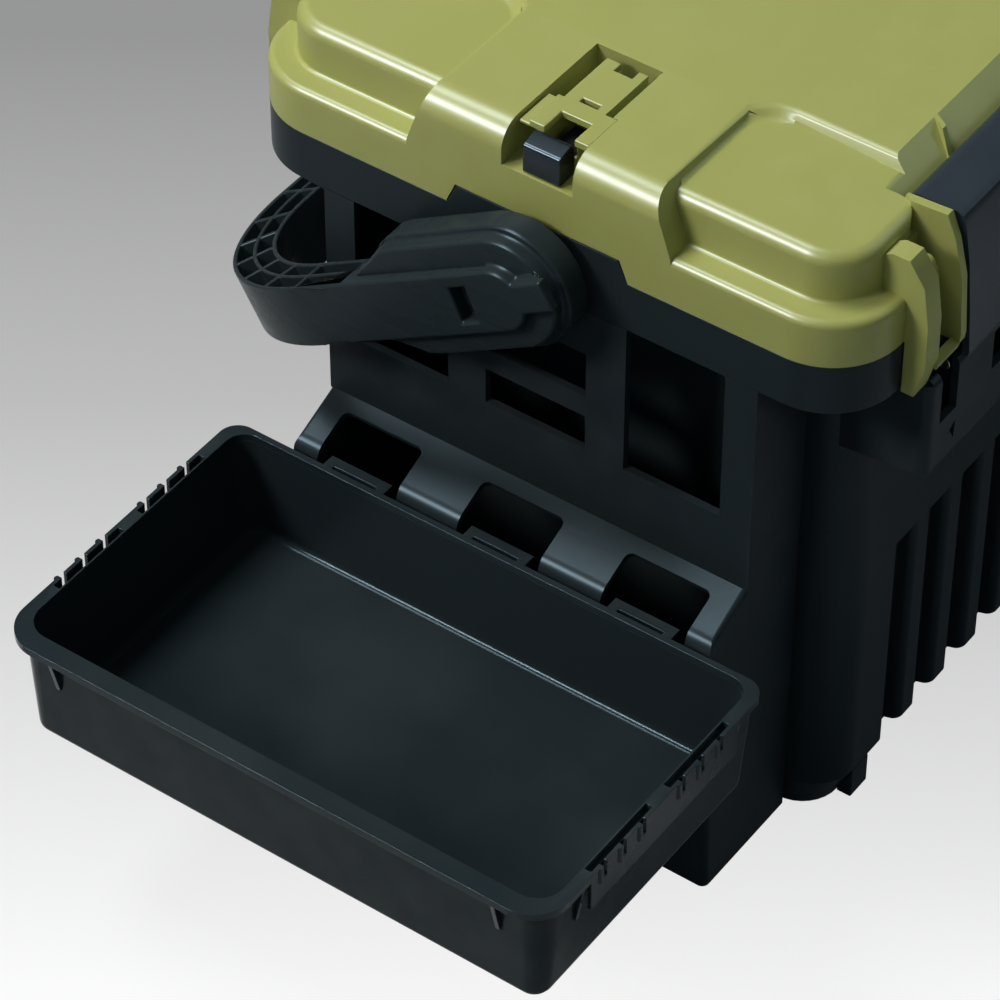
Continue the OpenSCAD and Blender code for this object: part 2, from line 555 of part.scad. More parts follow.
module side_tray_rim() color(black) {
  both_y() difference() {
    union() {
      translate([0, 0, tray_z - 3]) linear_extrude(3) difference() {
        tray_plan(tray_x0, tray_x1, tray_half_w, 15, 8);
        tray_plan(tray_x0 + 8, tray_x1 - 2.6, tray_half_w - 5, 10, 8);
        translate([-500, 0]) square([500, 200]);
      }
      box(-half_len - 131, -half_len - 43.6, -tray_half_w, -tray_half_w + 1.5, tray_z - 16, tray_z - 2.9);
    }
    comb_cut();
  }
  both_y() comb_knobs();
  both_y() for (x = [tray_x0 + 23, tray_x1 - 18]) prof_x(x, x + 1.8) side_fin();
  both_y() prof_y(93, 94.8) polygon([[tray_x0 + 1.2, tray_z - 2.9], [tray_x0 + 5.4 - fit, tray_z - 2.9],
    [tray_x0 + 5.8, fin_z], [tray_x0 + 5.1, fin_z]]);
}
module side_tray_hooks() color(black) for (i = [-1 : 1]) translate([-half_len, i * pocket_pitch, 0]) {
  for (y = [-13.5, 9.5]) box(-tray_gap + fit, -23.2, y, y + 4, tray_z - 3, tray_z - 0.4);
  difference() {
    box(-23.2, -19, -13.5, 13.5, 113.4, tray_z - 0.4);
    box(-24, -20.6, -9, 9, 116, 122);
  }
  prof_y(-13.5, 13.5)
    polygon([[-19, 116.4], [-19, 123], [-14.4, 116.4], [-11.6, 108], [-14.6, 108], [-16.4, 112.9]]);
}

// ---- inner tray hung in the mouth of the tub ----
module inner_tray() color(black) difference() {
  union() {
    slab(158, 52, 8, 212, 34);
    slab(tub_x - wall - 0.6, tub_half_w - wall - 0.6, tub_r - wall - 0.6, 246, 1.8);
  }
  slab(156, 50, 6, 214, 40);
  both_y() translate([0, 79.5, 0]) slab(150, 19, 6, 240, 20);
}
module inner_tray_dividers() color(black) {
  for (x = [-93.6, -31.2, 31.2, 93.6]) box(x - 1, x + 1, -49.98, 49.98, 214.02, 242);
  for (i = [-2 : 2]) box(i * 62.4 - 30.1, i * 62.4 + 30.1, -1, 1, 214.02, 240);
}

tub();
corner_feet();
rim_frame();
end_box_near();
end_box_far();
catch_housings_front();
catch_housings_rear();
catch_rods_front();
catch_rods_rear();
handle_pivot_near();
handle_pivot_far();
inner_tray();
inner_tray_dividers();
lid_shell();
lid_stiffener();
lock_leaf_near();
lock_leaf_far();
lid_lugs_front();
lid_lugs_rear();
buckle_pins_front();
buckle_pins_rear();
buckle_front_left();
buckle_front_right();
buckle_rear_left();
buckle_rear_right();
lock_catch_near();
lock_catch_far();
handle_arm_near();
handle_arm_far();
handle_grip();
side_tray_pan();
side_tray_rim();
side_tray_hooks();
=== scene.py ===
"""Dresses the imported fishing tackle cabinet: finishes, moulded detail, studio and camera."""

import logging
import math
from collections.abc import Callable
from dataclasses import dataclass, field
from enum import Enum

import bmesh
import bpy
from mathutils import Matrix, Vector


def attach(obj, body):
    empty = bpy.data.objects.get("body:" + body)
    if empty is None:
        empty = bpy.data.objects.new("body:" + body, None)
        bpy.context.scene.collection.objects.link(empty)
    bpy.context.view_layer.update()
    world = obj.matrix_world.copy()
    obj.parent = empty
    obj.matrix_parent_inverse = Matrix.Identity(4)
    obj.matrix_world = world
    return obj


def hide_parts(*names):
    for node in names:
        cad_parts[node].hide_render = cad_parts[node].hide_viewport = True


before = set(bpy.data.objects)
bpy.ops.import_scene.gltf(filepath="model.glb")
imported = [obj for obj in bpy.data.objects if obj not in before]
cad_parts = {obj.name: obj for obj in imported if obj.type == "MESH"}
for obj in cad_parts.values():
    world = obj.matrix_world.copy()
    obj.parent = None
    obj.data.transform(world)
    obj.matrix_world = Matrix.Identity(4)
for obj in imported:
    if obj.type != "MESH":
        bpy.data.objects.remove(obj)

LOG = logging.getLogger("tackle_cabinet")
MM = 0.001
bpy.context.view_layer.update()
WELD = 0.005 * MM
SHARP = math.radians(18.0)
FLAT = math.radians(0.6)
EDGE_ANGLE = math.radians(28.0)
EDGE_SEGMENTS = 3
LEVEL_SLACK_MM = 0.05
AIM = Vector((-0.15, 0.0, 0.15))
ENDS = ("near", "far")
SIDES = ("front", "rear")

Colour = tuple[float, float, float]
Triple = tuple[float, float, float]
EdgeRule = Callable[[bmesh.types.BMEdge], bool]


class Edge(Enum):
    """How soft the edges of a moulded piece are: the bevel's width in metres."""

    CRISP = 0.35 * MM
    MOULDED = 0.7 * MM
    SOFT = 1.2 * MM


# ---------------------------------------------------------------- node helpers


class Tree:
    """A thin wrapper that adds and links nodes in a node tree."""

    def __init__(self, tree: bpy.types.NodeTree) -> None:
        """Keep the tree.

        Args:
            tree: The shader or geometry tree to build in.
        """
        self.tree = tree

    def add(self, kind: str, values: dict | None = None, **props) -> bpy.types.Node:
        """Add a node.

        Args:
            kind: Blender's node type name.
            values: Input names or indices with a value, or a socket to link.
            **props: Properties set on the node before its inputs.

        Returns:
            The new node.
        """
        node = self.tree.nodes.new(kind)
        for name, value in props.items():
            setattr(node, name, value)
        for name, value in (values or {}).items():
            if isinstance(value, bpy.types.NodeSocket):
                self.tree.links.new(value, node.inputs[name])
            else:
                node.inputs[name].default_value = value
        return node

    def link(self, source: bpy.types.NodeSocket, target: bpy.types.NodeSocket) -> None:
        """Link one socket to another.

        Args:
            source: The output socket.
            target: The input socket.
        """
        self.tree.links.new(source, target)


def new_group(name: str, kind: str, inputs: list[tuple],
              outputs: list[tuple]) -> tuple[Tree, dict, dict]:
    """Make a node group with named sockets.

    Args:
        name: The group's name.
        kind: ShaderNodeTree or GeometryNodeTree.
        inputs: Tuples of socket name, socket type and default value (or None).
        outputs: Tuples of socket name and socket type.

    Returns:
        The tree wrapper, the input sockets by name and the output sockets by name.
    """
    group = bpy.data.node_groups.new(name, kind)
    for socket_name, socket_type, default in inputs:
        socket = group.interface.new_socket(socket_name, in_out="INPUT", socket_type=socket_type)
        if default is not None:
            socket.default_value = default
    for socket_name, socket_type in outputs:
        group.interface.new_socket(socket_name, in_out="OUTPUT", socket_type=socket_type)
    tree = Tree(group)
    start = tree.add("NodeGroupInput")
    end = tree.add("NodeGroupOutput")
    return tree, {s.name: s for s in start.outputs if s.name}, {s.name: s for s in end.inputs if s.name}


@dataclass(frozen=True)
class ShaderGroups:
    """The effects that several finishes share, each a shader node group."""

    grain: bpy.types.NodeTree
    wear: bpy.types.NodeTree
    dust: bpy.types.NodeTree

    @staticmethod
    def build() -> "ShaderGroups":
        """Build the three groups once.

        Returns:
            The groups.
        """
        return ShaderGroups(_grain_group(), _wear_group(), _dust_group())


def _grain_group() -> bpy.types.NodeTree:
    """Moulded plastic skin: fine grain, slow flow marks and a colour mottle."""
    tree, inputs, outputs = new_group(
        "Moulded grain",
        "ShaderNodeTree",
        [("Grain Scale", "NodeSocketFloat", 1600.0), ("Grain Depth", "NodeSocketFloat", 0.5),
         ("Flow Scale", "NodeSocketFloat", 28.0), ("Flow Depth", "NodeSocketFloat", 0.4)],
        [("Height", "NodeSocketFloat"), ("Mottle", "NodeSocketFloat"), ("Polish", "NodeSocketFloat")],
    )
    place = tree.add("ShaderNodeTexCoord").outputs["Object"]
    grain = tree.add("ShaderNodeTexNoise", {"Vector": place, "Scale": inputs["Grain Scale"], "Detail": 2.0})
    flow = tree.add("ShaderNodeTexNoise", {"Vector": place, "Scale": inputs["Flow Scale"], "Detail": 3.0,
                                           "Distortion": 0.6})
    stretch = tree.add("ShaderNodeMapping", {"Vector": place, "Scale": (9.0, 9.0, 45.0)})
    polish = tree.add("ShaderNodeTexNoise", {"Vector": stretch.outputs[0], "Scale": 3.0, "Detail": 4.0})
    fine = tree.add("ShaderNodeMath", {0: grain.outputs[0], 1: inputs["Grain Depth"]}, operation="MULTIPLY")
    slow = tree.add("ShaderNodeMath", {0: flow.outputs[0], 1: inputs["Flow Depth"]}, operation="MULTIPLY")
    total = tree.add("ShaderNodeMath", {0: fine.outputs[0], 1: slow.outputs[0]}, operation="ADD")
    tree.link(total.outputs[0], outputs["Height"])
    tree.link(flow.outputs[0], outputs["Mottle"])
    tree.link(polish.outputs[0], outputs["Polish"])
    return tree.tree


def _wear_group() -> bpy.types.NodeTree:
    """Rubbed edges: a mask that is high on convex edges, broken up by noise."""
    tree, inputs, outputs = new_group(
        "Edge wear",
        "ShaderNodeTree",
        [("Amount", "NodeSocketFloat", 0.5), ("Break-up", "NodeSocketFloat", 60.0)],
        [("Mask", "NodeSocketFloat")],
    )
    place = tree.add("ShaderNodeTexCoord").outputs["Object"]
    convex = tree.add("ShaderNodeNewGeometry").outputs["Pointiness"]
    edge = tree.add("ShaderNodeMapRange", {"Value": convex, "From Min": 0.52, "From Max": 0.62})
    noise = tree.add("ShaderNodeTexNoise", {"Vector": place, "Scale": inputs["Break-up"], "Detail": 5.0})
    patchy = tree.add("ShaderNodeMapRange", {"Value": noise.outputs[0], "From Min": 0.35, "From Max": 0.7})
    both = tree.add("ShaderNodeMath", {0: edge.outputs[0], 1: patchy.outputs[0]}, operation="MULTIPLY")
    mask = tree.add("ShaderNodeMath", {0: both.outputs[0], 1: inputs["Amount"]}, operation="MULTIPLY")
    tree.link(mask.outputs[0], outputs["Mask"])
    return tree.tree


def _dust_group() -> bpy.types.NodeTree:
    """Dust that settles on faces that look up, thicker in soft patches."""
    tree, inputs, outputs = new_group(
        "Settled dust",
        "ShaderNodeTree",
        [("Amount", "NodeSocketFloat", 0.15), ("Patch Scale", "NodeSocketFloat", 14.0)],
        [("Mask", "NodeSocketFloat")],
    )
    place = tree.add("ShaderNodeTexCoord").outputs["Object"]
    up = tree.add("ShaderNodeSeparateXYZ", {0: tree.add("ShaderNodeNewGeometry").outputs["Normal"]})
    level = tree.add("ShaderNodeMapRange", {"Value": up.outputs["Z"], "From Min": 0.6, "From Max": 1.0})
    patches = tree.add("ShaderNodeTexNoise", {"Vector": place, "Scale": inputs["Patch Scale"], "Detail": 6.0})
    soft = tree.add("ShaderNodeMapRange", {"Value": patches.outputs[0], "From Min": 0.4, "From Max": 0.75})
    both = tree.add("ShaderNodeMath", {0: level.outputs[0], 1: soft.outputs[0]}, operation="MULTIPLY")
    mask = tree.add("ShaderNodeMath", {0: both.outputs[0], 1: inputs["Amount"]}, operation="MULTIPLY")
    tree.link(mask.outputs[0], outputs["Mask"])
    return tree.tree


# ---------------------------------------------------------------- finishes


@dataclass(frozen=True)
class MouldedPlastic:
    """A moulded plastic: its colour, gloss, skin texture, wear and dust."""

    name: str
    colour: Colour
    shade: Colour
    worn: Colour
    roughness: float
    specular: float = 0.5
    grain_scale: float = 1600.0
    grain_depth: float = 0.5
    flow_depth: float = 0.4
    bump: float = 0.05
    wear: float = 0.35
    dust: float = 0.04
    tint: Colour = (0.62, 0.86, 1.0)
    dust_colour: Colour = (0.32, 0.33, 0.31)
    polish_spread: tuple[float, float] = (-0.02, 0.03)

    def build(self, groups: ShaderGroups) -> bpy.types.Material:
        """Build the material.

        Args:
            groups: The shared effects.

        Returns:
            The material.
        """
        material = bpy.data.materials.new(self.name)
        material.use_nodes = True
        tree = Tree(material.node_tree)
        shader = material.node_tree.nodes["Principled BSDF"]
        grain = tree.add("ShaderNodeGroup", {}, node_tree=groups.grain)
        grain.inputs["Grain Scale"].default_value = self.grain_scale
        grain.inputs["Grain Depth"].default_value = self.grain_depth
        grain.inputs["Flow Depth"].default_value = self.flow_depth
        wear = tree.add("ShaderNodeGroup", {}, node_tree=groups.wear)
        wear.inputs["Amount"].default_value = self.wear
        dust = tree.add("ShaderNodeGroup", {}, node_tree=groups.dust)
        dust.inputs["Amount"].default_value = self.dust
        tone = tree.add("ShaderNodeMix", data_type="RGBA")
        self.set_mix(tone, grain.outputs["Mottle"], self.shade, self.colour, tree)
        rubbed = tree.add("ShaderNodeMix", data_type="RGBA")
        self.set_mix(rubbed, wear.outputs["Mask"], tone.outputs[2], self.worn, tree)
        dusty = tree.add("ShaderNodeMix", data_type="RGBA")
        self.set_mix(dusty, dust.outputs["Mask"], rubbed.outputs[2], self.dust_colour, tree)
        tree.link(dusty.outputs[2], shader.inputs["Base Color"])
        rough = tree.add("ShaderNodeMapRange", {
            "Value": grain.outputs["Polish"], "From Min": 0.3, "From Max": 0.7,
            "To Min": self.roughness + self.polish_spread[0],
            "To Max": self.roughness + self.polish_spread[1]})
        tree.link(rough.outputs[0], shader.inputs["Roughness"])
        bump = tree.add("ShaderNodeBump", {"Strength": self.bump, "Distance": 0.3 * MM,
                                           "Height": grain.outputs["Height"]})
        tree.link(bump.outputs[0], shader.inputs["Normal"])
        shader.inputs["Specular IOR Level"].default_value = self.specular
        shader.inputs["Specular Tint"].default_value = (*self.tint, 1.0)
        return material

    @staticmethod
    def set_mix(node: bpy.types.Node, factor: bpy.types.NodeSocket, low: object, high: object,
                tree: Tree) -> None:
        """Feed a colour mix node.

        Args:
            node: The mix node, in its colour mode.
            factor: The socket that drives the mix.
            low: A colour or a socket for the first side.
            high: A colour or a socket for the second side.
            tree: The tree that the node is in.
        """
        tree.link(factor, node.inputs[0])
        for socket, value in ((node.inputs[6], low), (node.inputs[7], high)):
            if isinstance(value, bpy.types.NodeSocket):
                tree.link(value, socket)
            else:
                socket.default_value = (*value, 1.0)


@dataclass(frozen=True)
class DrawnSteel:
    """Bright drawn rod with faint lengthwise lines."""

    name: str = "Drawn steel"
    colour: Colour = (0.56, 0.57, 0.58)
    roughness: float = 0.3

    def build(self, groups: ShaderGroups) -> bpy.types.Material:
        """Build the material.

        Args:
            groups: The shared effects.

        Returns:
            The material.
        """
        material = bpy.data.materials.new(self.name)
        material.use_nodes = True
        tree = Tree(material.node_tree)
        shader = material.node_tree.nodes["Principled BSDF"]
        place = tree.add("ShaderNodeTexCoord").outputs["Object"]
        along = tree.add("ShaderNodeMapping", {"Vector": place, "Scale": (20.0, 900.0, 900.0)})
        lines = tree.add("ShaderNodeTexNoise", {"Vector": along.outputs[0], "Scale": 1.0, "Detail": 3.0})
        tint = tree.add("ShaderNodeValToRGB", {0: lines.outputs[0]})
        tint.color_ramp.elements[0].color = (*(c * 0.8 for c in self.colour), 1.0)
        tint.color_ramp.elements[1].color = (*self.colour, 1.0)
        tree.link(tint.outputs[0], shader.inputs["Base Color"])
        rough = tree.add("ShaderNodeMapRange", {"Value": lines.outputs[0], "To Min": self.roughness - 0.08,
                                                "To Max": self.roughness + 0.12})
        tree.link(rough.outputs[0], shader.inputs["Roughness"])
        bump = tree.add("ShaderNodeBump", {"Strength": 0.08, "Distance": 0.05 * MM,
                                           "Height": lines.outputs[0]})
        tree.link(bump.outputs[0], shader.inputs["Normal"])
        shader.inputs["Metallic"].default_value = 1.0
        return material


@dataclass(frozen=True)
class Finishes:
    """Every material of the cabinet, built once."""

    body: bpy.types.Material
    handle: bpy.types.Material
    tray: bpy.types.Material
    lip: bpy.types.Material
    catch: bpy.types.Material
    buckle: bpy.types.Material
    lid: bpy.types.Material
    steel: bpy.types.Material

    @staticmethod
    def build() -> "Finishes":
        """Build all the finishes around the shared effects.

        Returns:
            The finishes.
        """
        groups = ShaderGroups.build()
        return Finishes(
            body=MouldedPlastic("Black body plastic", (0.0176, 0.0250, 0.0280), (0.0150, 0.0220, 0.0248),
                                (0.04, 0.05, 0.055), 0.30, 0.045).build(groups),
            handle=MouldedPlastic("Black handle plastic", (0.0185, 0.0262, 0.0292), (0.0160, 0.0230, 0.0258),
                                  (0.05, 0.06, 0.065), 0.27, 0.06).build(groups),
            tray=MouldedPlastic("Black tray plastic", (0.0155, 0.0228, 0.0262), (0.0142, 0.0211, 0.0243),
                                (0.04, 0.05, 0.05), 0.15, 0.035, bump=0.03).build(groups),
            lip=MouldedPlastic("Black tray rim plastic", (0.0150, 0.0224, 0.0258), (0.0138, 0.0207, 0.0239),
                               (0.05, 0.06, 0.06), 0.15, 0.10, bump=0.02).build(groups),
            catch=MouldedPlastic("Black buckle plastic", (0.0095, 0.0125, 0.0150), (0.0080, 0.0108, 0.0132),
                                 (0.06, 0.07, 0.08), 0.18, 0.16, bump=0.02, dust=0.02).build(groups),
            buckle=MouldedPlastic("Black clasp plastic", (0.0270, 0.0365, 0.0455), (0.0245, 0.0335, 0.0420),
                                  (0.07, 0.08, 0.09), 0.20, 0.12, bump=0.02, dust=0.02).build(groups),
            lid=MouldedPlastic("Olive lid plastic", (0.345, 0.355, 0.100), (0.325, 0.338, 0.094),
                               (0.40, 0.42, 0.15), 0.36, 0.20, bump=0.04, dust=0.03, wear=0.2,
                               tint=(0.92, 0.97, 1.0)).build(groups),
            steel=DrawnSteel().build(groups),
        )


# ---------------------------------------------------------------- dressing CAD nodes


def soften(node: bpy.types.Object, edge: Edge, clamp: bool = True) -> None:
    """Round the sharp edges of a solid with modifiers that leave its mesh as it is.

    Args:
        node: The solid's object.
        edge: How soft its edges are.
        clamp: Whether the rounding is held back where edges are close together.
    """
    weld = node.modifiers.new("Weld", "WELD")
    weld.merge_threshold = WELD
    flat = node.modifiers.new("Flatten", "DECIMATE")
    flat.decimate_type = "DISSOLVE"
    flat.angle_limit = FLAT
    bevel = node.modifiers.new("Bevel", "BEVEL")
    bevel.width = edge.value
    bevel.segments = EDGE_SEGMENTS
    bevel.limit_method = "ANGLE"
    bevel.angle_limit = EDGE_ANGLE
    bevel.use_clamp_overlap = clamp
    for polygon in node.data.polygons:
        polygon.use_smooth = True
    shade = node.modifiers.new("Smooth", "WEIGHTED_NORMAL")
    shade.keep_sharp = True


def dress(node: bpy.types.Object, material: bpy.types.Material) -> None:
    """Give an object one material in place of those it has.

    Args:
        node: The object.
        material: Its new material.
    """
    node.data.materials.clear()
    node.data.materials.append(material)


def merged_copy(nodes: list[str]) -> bmesh.types.BMesh:
    """Copy solids into one mesh whose loose triangles are joined.

    Args:
        nodes: The names of the solids.

    Returns:
        The joined mesh, in metres.
    """
    mesh = bmesh.new()
    for name in nodes:
        mesh.from_mesh(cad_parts[name].data)
    bmesh.ops.remove_doubles(mesh, verts=mesh.verts, dist=WELD)
    return mesh


def flatten(mesh: bmesh.types.BMesh) -> None:
    """Turn the triangles of each flat face into one face.

    Args:
        mesh: The mesh to change.
    """
    bmesh.ops.dissolve_limit(mesh, angle_limit=FLAT, verts=mesh.verts, edges=mesh.edges)


def round_edges(mesh: bmesh.types.BMesh, chosen: EdgeRule, width: float, segments: int = 4) -> None:
    """Round the chosen sharp edges of a mesh.

    Args:
        mesh: The mesh to change.
        chosen: Says whether a sharp edge is rounded.
        width: The rounding's width, in metres.
        segments: Faces across each rounded edge.
    """
    edges = [e for e in mesh.edges
             if len(e.link_faces) == 2 and e.calc_face_angle() > SHARP and chosen(e)]
    bmesh.ops.bevel(mesh, geom=edges, offset=width, offset_type="OFFSET", segments=segments, profile=0.5,
                    affect="EDGES", clamp_overlap=False)


def new_piece(name: str, mesh: bmesh.types.BMesh, material: bpy.types.Material, body: str,
              nodes: list[str]) -> bpy.types.Object:
    """Make an object that stands for some solids.

    Args:
        name: The piece's name.
        mesh: Its mesh, which is freed.
        material: Its material.
        body: The moving body that it rides on.
        nodes: The solids that it stands for.

    Returns:
        The new object.
    """
    data = bpy.data.meshes.new(name)
    mesh.to_mesh(data)
    mesh.free()
    piece = bpy.data.objects.new(name, data)
    bpy.context.scene.collection.objects.link(piece)
    dress(piece, material)
    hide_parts(*nodes)
    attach(piece, body)
    LOG.info("built %s", name)
    return piece


def middle(edge: bmesh.types.BMEdge) -> Vector:
    """Find the middle of an edge.

    Args:
        edge: The edge.

    Returns:
        Its middle, in millimetres.
    """
    return (edge.verts[0].co + edge.verts[1].co) * (0.5 / MM)


def level(edge: bmesh.types.BMEdge, height: float) -> bool:
    """Say whether an edge lies at a height.

    Args:
        edge: The edge.
        height: The height, in millimetres.

    Returns:
        True if both its ends do.
    """
    return all(abs(v.co.z / MM - height) < LEVEL_SLACK_MM for v in edge.verts)


def paired(stem: str, ends: tuple[str, ...]) -> list[str]:
    """Name the solids that are made once for each end or side.

    Args:
        stem: The first part of their names.
        ends: The last part of each name.

    Returns:
        Their names.
    """
    return [f"{stem}_{end}" for end in ends]


@dataclass
class CadGroup:
    """Carried-over solids that share a finish and an edge."""

    nodes: list[str]
    material: bpy.types.Material
    edge: Edge = Edge.MOULDED

    def build(self) -> None:
        """Dress and soften every solid in the group."""
        for name in self.nodes:
            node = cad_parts[name]
            dress(node, self.material)
            soften(node, self.edge)
            LOG.info("dressed %s", name)


@dataclass
class LidShell:
    """The lid's moulding: pads set off by rounded channels, on a ledge. Sizes in millimetres."""

    material: bpy.types.Material
    top: float = 293.3
    channel: float = 289.5
    ledge: float = 270.0
    ledge_from: tuple[float, float] = (165.0, 56.0)
    block_y: tuple[float, float] = (20.0, 104.0)
    end_x: float = 134.0
    form_round: float = 1.7
    ledge_round: float = 1.6
    speck: float = 0.3

    def build(self) -> None:
        """Copy the shell, round its main forms and dress it."""
        mesh = merged_copy(["lid_shell"])
        flatten(mesh)
        zone = [e for e in mesh.edges if self._on_form(e)]
        bmesh.ops.dissolve_degenerate(mesh, dist=self.speck * MM, edges=zone)
        round_edges(mesh, self._on_form, self.form_round * MM)
        round_edges(mesh, self._on_ledge, self.ledge_round * MM)
        piece = new_piece("lid_moulding", mesh, self.material, "lid", ["lid_shell"])
        soften(piece, Edge.MOULDED)

    def _on_form(self, edge: bmesh.types.BMEdge) -> bool:
        """Whether an edge bounds a channel, above or below."""
        place = middle(edge)
        if abs(place.x) < self.end_x or not self.block_y[0] < abs(place.y) < self.block_y[1]:
            return False
        return level(edge, self.top) or level(edge, self.channel)

    def _on_ledge(self, edge: bmesh.types.BMEdge) -> bool:
        """Whether an edge is where the ledge meets the pads' walls."""
        place = middle(edge)
        outer = abs(place.x) > self.ledge_from[0] and abs(place.y) > self.ledge_from[1]
        return outer and level(edge, self.ledge) and not edge.is_convex


@dataclass
class Handle:
    """The bail with its two hubs as one moulding. Sizes in millimetres, in the bail's own frame."""

    material: bpy.types.Material
    pivot_z: float = 241.0
    droop: float = 31.0
    seam: float = 95.01
    seam_slack: float = 0.03
    seam_weld: float = 0.04
    hub_planes: tuple[float, ...] = (223.8, 219.4, 214.2)
    hub_round: float = 1.3
    hub_slack: float = 0.02
    hub_reach: float = 70.0

    def build(self) -> None:
        """Join the arms and the grip, round the hubs' layers and dress the moulding."""
        nodes = ["handle_grip", "handle_arm_near", "handle_arm_far"]
        mesh = merged_copy(nodes)
        caps = [f for f in mesh.faces if all(self._on_seam(v) for v in f.verts)]
        bmesh.ops.delete(mesh, geom=caps, context="FACES")
        rim = [v for v in mesh.verts if self._on_seam(v)]
        bmesh.ops.remove_doubles(mesh, verts=rim, dist=self.seam_weld * MM)
        flatten(mesh)
        round_edges(mesh, self._on_hub, self.hub_round * MM)
        piece = new_piece("handle_bail", mesh, self.material, "handle", nodes)
        soften(piece, Edge.MOULDED, clamp=False)

    def _reach(self, vert: bmesh.types.BMVert) -> float:
        """How far out from the pivots a corner is, along the arms."""
        droop = math.radians(self.droop)
        return (vert.co.y * math.cos(droop) - (vert.co.z - self.pivot_z * MM) * math.sin(droop)) / MM

    def _on_seam(self, vert: bmesh.types.BMVert) -> bool:
        """Whether a corner is where an arm meets the grip."""
        return abs(self._reach(vert) - self.seam) < self.seam_slack

    def _on_hub(self, edge: bmesh.types.BMEdge) -> bool:
        """Whether an edge is round the outer face of one of the hub's layers."""
        if all(self._reach(v) > self.hub_reach for v in edge.verts):
            return False
        return any(all(abs(abs(v.co.x) / MM - plane) < self.hub_slack for v in edge.verts)
                   for plane in self.hub_planes)


@dataclass
class RoundedNode:
    """A copy of one solid with some of its edges rounded more than the rest. Sizes in millimetres."""

    name: str
    node: str
    material: bpy.types.Material
    body: str
    slot: str
    rounds: list[tuple[EdgeRule, float]]
    edge: Edge = Edge.MOULDED

    def build(self) -> None:
        """Copy the solid, round the chosen edges and dress it."""
        mesh = merged_copy([self.node])
        flatten(mesh)
        for chosen, width in self.rounds:
            round_edges(mesh, chosen, width * MM, 3)
        piece = new_piece(self.name, mesh, self.material, self.body, [self.node])
        soften(piece, self.edge)


@dataclass(frozen=True)
class RimOutline:
    """Picks the straight outer edge along the top of the side tray's rim. Sizes in millimetres."""

    top: float = 125.8
    beyond_x: float = -357.0
    half_width: float = 100.0

    def __call__(self, edge: bmesh.types.BMEdge) -> bool:
        """Say whether an edge is part of it.

        Args:
            edge: The edge.

        Returns:
            True if it is.
        """
        place = middle(edge)
        outer = place.x < self.beyond_x and abs(place.y) < self.half_width
        return outer and level(edge, self.top) and edge.is_convex


@dataclass
class RibArray:
    """Equal drafted ribs in a row, made by a node tree. Sizes in metres."""

    count: int
    step: Triple
    size: Triple
    centre: Triple
    draft: Triple

    def build(self, tree: bpy.types.NodeTree, material: bpy.types.Material, into: bmesh.types.BMesh) -> None:
        """Run the tree and add its ribs to a mesh.

        Args:
            tree: The rib tree.
            material: The ribs' material.
            into: The mesh that takes the ribs.
        """
        host = bpy.data.objects.new("rib_host", bpy.data.meshes.new("rib_host"))
        bpy.context.scene.collection.objects.link(host)
        modifier = host.modifiers.new("Ribs", "NODES")
        modifier.node_group = tree
        values = {"Count": self.count, "Step": self.step, "Rib Size": self.size, "Centre": self.centre,
                  "Draft": self.draft, "Material": material}
        for item in tree.interface.items_tree:
            if item.item_type == "SOCKET" and item.in_out == "INPUT" and item.name in values:
                modifier[item.identifier] = values[item.name]
        depsgraph = bpy.context.evaluated_depsgraph_get()
        made = bpy.data.meshes.new_from_object(host.evaluated_get(depsgraph))
        host.modifiers.remove(modifier)
        into.from_mesh(made)
        bpy.data.objects.remove(host)
        bpy.data.meshes.remove(made)


